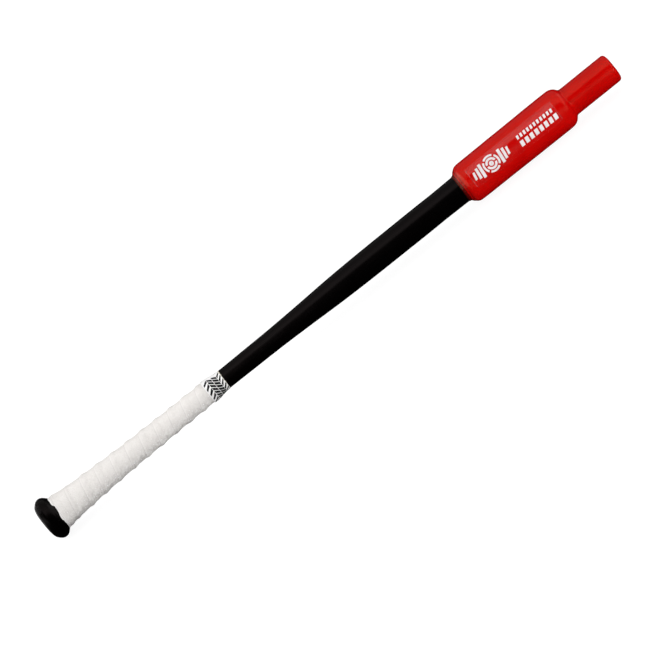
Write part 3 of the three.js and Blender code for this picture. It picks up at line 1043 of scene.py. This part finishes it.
def grip_polymer():
    mat = material("grip_polymer")
    along = mat.attribute("along")
    across = mat.attribute("across")
    place = mat.place()
    # small dimples on a diamond grid
    a = mat.math("DIVIDE", mat.plus(along, across), DIMPLE_PITCH)
    b = mat.math("DIVIDE", mat.math("SUBTRACT", along, across), DIMPLE_PITCH)
    grid = mat.make("ShaderNodeCombineXYZ", {0: a, 1: b})
    inputs = {"Vector": grid, "Scale": 1.0, "Randomness": 0.30}
    cells = mat.node("ShaderNodeTexVoronoi", inputs, voronoi_dimensions="2D").outputs
    dist = cells["Distance"]
    pit = mat.ramp(dist, over=(0.05, 0.13), to=(1.0, 0.0))
    lip = mat.times(
        mat.ramp(dist, over=(0.10, 0.2)), mat.ramp(dist, over=(0.2, 0.32), to=(1.0, 0.0))
    )
    # finer leather-like grain
    inputs = {"Vector": place, "Scale": 1150.0}
    grain = mat.node("ShaderNodeTexVoronoi", inputs, feature="SMOOTH_F1").outputs["Distance"]
    soft = mat.noise(place, scale=420.0, detail=4.0, rough=0.6)
    mottle = mat.noise(place, scale=190.0, rough=0.6)
    cloud = mat.noise(place, scale=30.0, rough=0.55)
    pebble = mat.noise(place, scale=620.0, detail=2.0)
    height = mat.times(pit, -0.9)
    for part, amount in ((lip, 0.45), (grain, 0.55), (soft, 1.2), (pebble, 1.6)):
        height = mat.plus(height, mat.times(part, amount))
    normal = mat.bump(height, distance=0.00030, strength=0.8)
    normal = mat.bump(mottle, distance=0.0004, normal=normal, strength=0.3)

    by = mat.ramp(cloud, over=(0.3, 0.7))
    colour = mat.mix((0.762, 0.732, 0.704), (0.778, 0.750, 0.724), by)
    # painted shade in the hollows of the pebbled face and a painted highlight on its high spots,
    # both stronger underneath where the light grazes
    pebble_painted_light = mat.attribute("pebble_painted_light")
    by = mat.line(pebble_painted_light, over=(0.0, -0.09), to=(0.0, 0.75))
    colour = mat.mix(colour, (0.56, 0.53, 0.52), by)
    by = mat.line(pebble_painted_light, over=(0.0, 0.09), to=(0.0, 0.8))
    colour = mat.mix(colour, (0.90, 0.885, 0.87), by)
    by = mat.ramp(mottle, over=(0.30, 0.62), to=(0.05, 0.0))
    colour = mat.mix(colour, (0.70, 0.665, 0.64), by)
    # painted light on the dimples, stronger underneath: a painted glint in the middle and painted
    # shade in a grey ring round it
    x, y, z = mat.axes(place)
    radius = mat.math("SQRT", mat.plus(mat.times(y, y), mat.times(z, z)))
    slope = mat.math("DIVIDE", z, radius)  # 1 at the top, -1 underneath
    under = mat.line(slope, over=(0.60, -0.35), to=(0.12, 1.0))
    each = mat.make("ShaderNodeSeparateColor", {"Color": cells["Color"]})
    dimple_painted_light = mat.times(under, mat.line(each, over=(0.25, 0.95), to=(0.10, 1.0)))
    ring = mat.times(
        mat.ramp(dist, over=(0.20, 0.28)), mat.ramp(dist, over=(0.28, 0.42), to=(1.0, 0.0))
    )
    colour = mat.mix(colour, (0.42, 0.39, 0.38), by=mat.times(ring, dimple_painted_light, 0.30))
    by = mat.times(mat.ramp(dist, over=(0.12, 0.24), to=(1.0, 0.0)), dimple_painted_light)
    colour = mat.mix(colour, (0.98, 0.975, 0.97), by)
    # painted shade, with some dirt, at the lap, and painted shade in the crease where the thinned
    # edge ends
    first = mat.ramp(x, over=(0.0238, 0.0248), to=(1.0, 0.0))
    shade = mat.ramp(across, over=(0.0, 0.75), to=(0.46, 0.0))
    lap_painted_shade = mat.times(shade, mat.math("SUBTRACT", 1.0, first))
    crease_painted_shade = mat.times(
        mat.ramp(across, over=(2.5, 3.1)), mat.ramp(across, over=(3.1, 3.8), to=(0.10, 0.0))
    )
    colour = mat.mix(colour, (0.40, 0.38, 0.38), by=lap_painted_shade)
    colour = mat.mix(colour, (0.45, 0.42, 0.41), by=crease_painted_shade)
    # painted highlight along the first edge, next to the knob
    by = mat.times(first, mat.ramp(across, over=(0.5, 1.6), to=(0.85, 0.0)))
    colour = mat.mix(colour, (0.95, 0.94, 0.93), by)
    # painted shade: greyer underneath, next to the knob
    underside_painted_shade = mat.times(
        mat.ramp(x, over=(0.030, 0.075), to=(1.0, 0.0)),
        mat.line(slope, over=(-0.28, -0.62), to=(0.0, 0.62)),
    )
    return mat.surface(
        Base_Color=mat.mix(colour, (0.45, 0.42, 0.415), by=underside_painted_shade),
        Roughness=mat.ramp(soft, over=(0.3, 0.7), to=(0.50, 0.66)),
        Specular_IOR_Level=0.45,
        Normal=normal,
        Sheen_Weight=0.08,
        Sheen_Roughness=0.5,
    )


def band_film():
    mat = material("band_film")
    place = mat.place()
    x = mat.axes(place)[0]
    cloud = mat.noise(place, scale=60.0)
    fibre = mat.noise(place, scale=3.0, rough=0.6, stretch=(300.0, 40.0))
    by = mat.ramp(cloud, over=(0.3, 0.7))
    colour = mat.mix((0.86, 0.85, 0.84), (0.91, 0.905, 0.90), by)
    # adhesive edge, a little yellow
    edge = mat.ramp(x, over=(0.26440, 0.26530), to=(0.0, 0.75))
    return mat.surface(
        Base_Color=mat.mix(colour, (0.62, 0.56, 0.42), by=edge),
        Roughness=mat.ramp(cloud, over=(0.3, 0.7), to=(0.30, 0.42)),
        Specular_IOR_Level=0.5,
        Normal=mat.bump(fibre, distance=0.00005, strength=0.4),
    )


def collar_elastomer():
    mat = material("collar_elastomer")
    place = mat.place()
    skin = mat.noise(place, scale=500.0, detail=4.0, rough=0.6)
    flow = mat.noise(place, scale=3.0, stretch=(20.0, 80.0))
    by = mat.ramp(flow, over=(0.3, 0.7))
    return mat.surface(
        Base_Color=mat.mix((0.028, 0.027, 0.027), (0.045, 0.043, 0.042), by),
        Roughness=mat.ramp(skin, over=(0.3, 0.7), to=(0.7, 0.9)),
        Specular_IOR_Level=0.35,
        Normal=mat.bump(skin, distance=0.00008, strength=0.6),
    )


def bond_adhesive():
    mat = material("bond_adhesive")
    flow = mat.noise(mat.place(), scale=120.0, detail=4.0, rough=0.6)
    by = mat.ramp(flow, over=(0.3, 0.7))
    return mat.surface(
        Base_Color=mat.mix((0.70, 0.60, 0.40), (0.82, 0.74, 0.56), by),
        Roughness=mat.ramp(flow, over=(0.3, 0.7), to=(0.25, 0.5)),
        Normal=mat.bump(flow, distance=0.00006, strength=0.6),
    )


# Object, its material, the frame piece it replaces and that piece's material slot.
PIECES = [
    (core, black_lacquer, "bat_core", "core_lacquer"),
    (bond, bond_adhesive, "collar_bond_film", "bond_adhesive"),
    (collar, collar_elastomer, "hitting_collar", "collar_elastomer"),
    (sleeve, red_film, "shrink_sleeve", "red_film"),
    (label, clear_label_film, "sleeve_label", "clear_label_film"),
    (label_ink, label_ink_white, "sleeve_label", "clear_label_film"),
    (grip, grip_polymer, "grip_tape", "grip_polymer"),
    (band, band_film, "finish_band", "band_film"),
    (band_ink, band_ink_black, "finish_band", "band_film"),
]
for ob, make_material, node, slot in PIECES:
    ob.data.materials.append(make_material())
    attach(ob, BODY)
    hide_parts(node)

# ------------------------------------------------------------------ floor
FLOOR_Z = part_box("bat_core")[0].z - 0.0001
FLOOR_HALF = 30.0
FLOOR_POINTS = 24  # each way
CENTRE = Vector((0.4191, 0.0, 0.0))


def studio_floor():
    """White to the camera, dark in reflections and grey to light that bounces off it."""
    mat = material("studio_floor")

    def diffuse(colour):
        return mat.make("ShaderNodeBsdfDiffuse", {"Color": colour})

    def glow(strength):
        inputs = {"Color": (1.0, 1.0, 1.0), "Strength": strength}
        return mat.make("ShaderNodeEmission", inputs)

    path = mat.node("ShaderNodeLightPath").outputs
    add = "ShaderNodeAddShader"
    white = mat.make(add, {0: diffuse((0.20, 0.20, 0.20)), 1: glow(0.90)})
    x, y, _ = mat.axes(mat.node("ShaderNodeNewGeometry").outputs["Position"])
    paler = mat.ramp(x, over=(0.30, 0.60), to=(0.28, 0.40))
    bounce = diffuse(mat.make("ShaderNodeCombineColor", {0: paler, 1: paler, 2: paler}))
    # reflections see a lit part past the knob's end, at the back
    past = mat.times(
        mat.ramp(x, over=(-0.05, 0.0), to=(1.0, 0.0)), mat.ramp(y, over=(-0.01, 0.05))
    )
    dark = mat.make(add, {0: diffuse((0.012, 0.012, 0.012)), 1: glow(mat.times(past, 0.38))})
    mix = "ShaderNodeMixShader"
    other = mat.make(mix, {0: path["Is Glossy Ray"], 1: bounce, 2: dark})
    return mat.finish(mat.make(mix, {0: path["Is Camera Ray"], 1: other, 2: white}))


def build_floor():
    count = FLOOR_POINTS
    line = np.linspace(-FLOOR_HALF, FLOOR_HALF, count)
    x, y = np.meshgrid(line, line, indexing="ij")
    i, j = np.meshgrid(np.arange(count - 1), np.arange(count - 1), indexing="ij")
    corner = i * count + j
    quads = np.stack([corner, corner + count, corner + count + 1, corner + 1], -1)
    verts = np.stack([x + CENTRE.x, y, np.full_like(x, FLOOR_Z)], -1)
    floor = make_mesh("studio_floor", verts, quads)
    floor.data.materials.append(studio_floor())


build_floor()

# ------------------------------------------------------------------ lights
ALONG = Vector((1.0, 0.0, 0.0))
UP = Vector((0.0, 0.0, 1.0))

# Panels along the bat: (name, from and to elevation, distance, length, level, in reflections).
# An elevation of 0 is level at the front, 90 straight up, and over 90 behind.
LONG_PANELS = (
    ("softbox_front", 60, 88, 1.35, 3.4, 0.56, True),
    ("softbox_over", 88, 104, 1.35, 3.4, 0.40, True),
    ("softbox_high", 104, 122, 1.4, 3.4, 0.28, True),
    ("softbox_back", 122, 164, 1.6, 3.4, 0.20, True),
    ("fill_over", 90, 150, 2.2, 4.4, 1.06, False),
    ("fill_front", 2, 30, 3.2, 4.4, 2.25, False),
)
# Panels square to the bat's length: (name, x, y range, z range, level, fills). One that fills
# makes no reflection, and the others make nothing else.
SQUARE_PANELS = (
    ("softbox_left", -1.5, (0.5, 2.3), (0.12, 2.3), 1.0, False),
    ("card_left", 0.12, (-0.75, 0.35), (0.08, 0.75), 1.0, False),
    ("fill_left", -1.5, (-2.3, 2.2), (0.12, 2.3), 1.75, True),
    ("card_low", -1.45, (-0.5, 0.5), (-0.02, 0.20), 0.55, False),
    ("softbox_right", 2.6, (-0.9, 1.7), (0.35, 1.6), 0.62, False),
)
# Low panels off the tip that only fill: (name, place, height, level).
LOW_PANELS = (
    ("fill_right_low", (1.5, -0.9, 0.12), 0.26, 5.6),
    ("fill_right_end", (1.9, -0.5, 0.18), 0.36, 6.5),
)
LOW_PANEL_WIDE = 0.9
LOW_PANEL_TARGET = Vector((0.8, 0.0, 0.0))


def axes_at(place, x_axis, y_axis, z_axis):
    turn = Matrix((x_axis, y_axis, z_axis)).transposed().to_4x4()
    return Matrix.Translation(place) @ turn


def area_light(name, place, away, side, size, level, diffuse=True, glossy=True):
    """A soft panel that shines against away. side is the direction of its width."""
    wide, high = size
    light = bpy.data.lights.new(name, "AREA")
    light.shape = "RECTANGLE"
    light.size, light.size_y = wide, high
    light.energy = level * math.pi * wide * high
    ob = add_object(name, light)
    ob.matrix_world = axes_at(place, side, away.cross(side), away)
    ob.visible_camera = False
    ob.visible_diffuse = diffuse
    ob.visible_glossy = glossy


for name, start, end, dist, length, level, glossy in LONG_PANELS:
    start, end = math.radians(start), math.radians(end)
    middle = (start + end) / 2
    away = Vector((0.0, -math.cos(middle), math.sin(middle)))
    size = (length, 2 * dist * math.tan((end - start) / 2))
    area_light(name, CENTRE + away * dist, away, ALONG, size, level, glossy=glossy)

for name, x, (y0, y1), (z0, z1), level, fills in SQUARE_PANELS:
    away = ALONG if x > CENTRE.x else -ALONG
    place = Vector((x, (y0 + y1) / 2, (z0 + z1) / 2))
    size = (y1 - y0, z1 - z0)
    area_light(
        name, place, away, UP.cross(away), size, level, diffuse=fills, glossy=not fills
    )

for name, place, height, level in LOW_PANELS:
    away = (Vector(place) - LOW_PANEL_TARGET).normalized()
    side = UP.cross(away).normalized()
    area_light(name, place, away, side, (LOW_PANEL_WIDE, height), level, glossy=False)


# ------------------------------------------------------------------ world
def build_world():
    """One level of white for fill, one for reflections and one for the camera."""
    world = Nodes(bpy.data.worlds.new("studio"), "ShaderNodeOutputWorld")

    def white(level):
        return world.make("ShaderNodeBackground", {0: (1.0, 1.0, 1.0), 1: level})

    path = world.node("ShaderNodeLightPath").outputs
    fill, mirrored, seen = white(0.16), white(0.012), white(0.92)
    mix = "ShaderNodeMixShader"
    other = world.make(mix, {0: path["Is Glossy Ray"], 1: fill, 2: mirrored})
    return world.finish(world.make(mix, {0: path["Is Camera Ray"], 1: other, 2: seen}))


bpy.context.scene.world = build_world()

# ------------------------------------------------------------------ camera
# The camera is square to the bat and rolled, so the bat rises to the right.
ROLL = math.radians(38.835)
DISTANCE = 7.5
SENSOR = 36.0
VIEW_WIDTH = 0.745750205  # what the picture spans at the bat
AIM_LEFT, AIM_DOWN = 0.00424504, 0.03415536  # from the bat's centre, in the picture


def build_camera():
    back = Vector((0.0, -math.cos(ELEV), math.sin(ELEV)))
    level_up = Vector((0.0, math.sin(ELEV), math.cos(ELEV)))
    right = ALONG * math.cos(ROLL) - level_up * math.sin(ROLL)
    up = ALONG * math.sin(ROLL) + level_up * math.cos(ROLL)
    data = bpy.data.cameras.new("camera")
    data.sensor_width = SENSOR
    data.lens = SENSOR * DISTANCE / VIEW_WIDTH
    data.clip_start, data.clip_end = 0.05, 200.0
    camera = add_object("camera", data)
    aim = CENTRE - right * AIM_LEFT - up * AIM_DOWN
    camera.matrix_world = axes_at(aim + back * DISTANCE, right, up, back)
    bpy.context.scene.camera = camera


build_camera()

view = bpy.context.scene.view_settings
view.view_transform = "Standard"
view.look = "None"
view.exposure = 0.0
view.gamma = 1.0
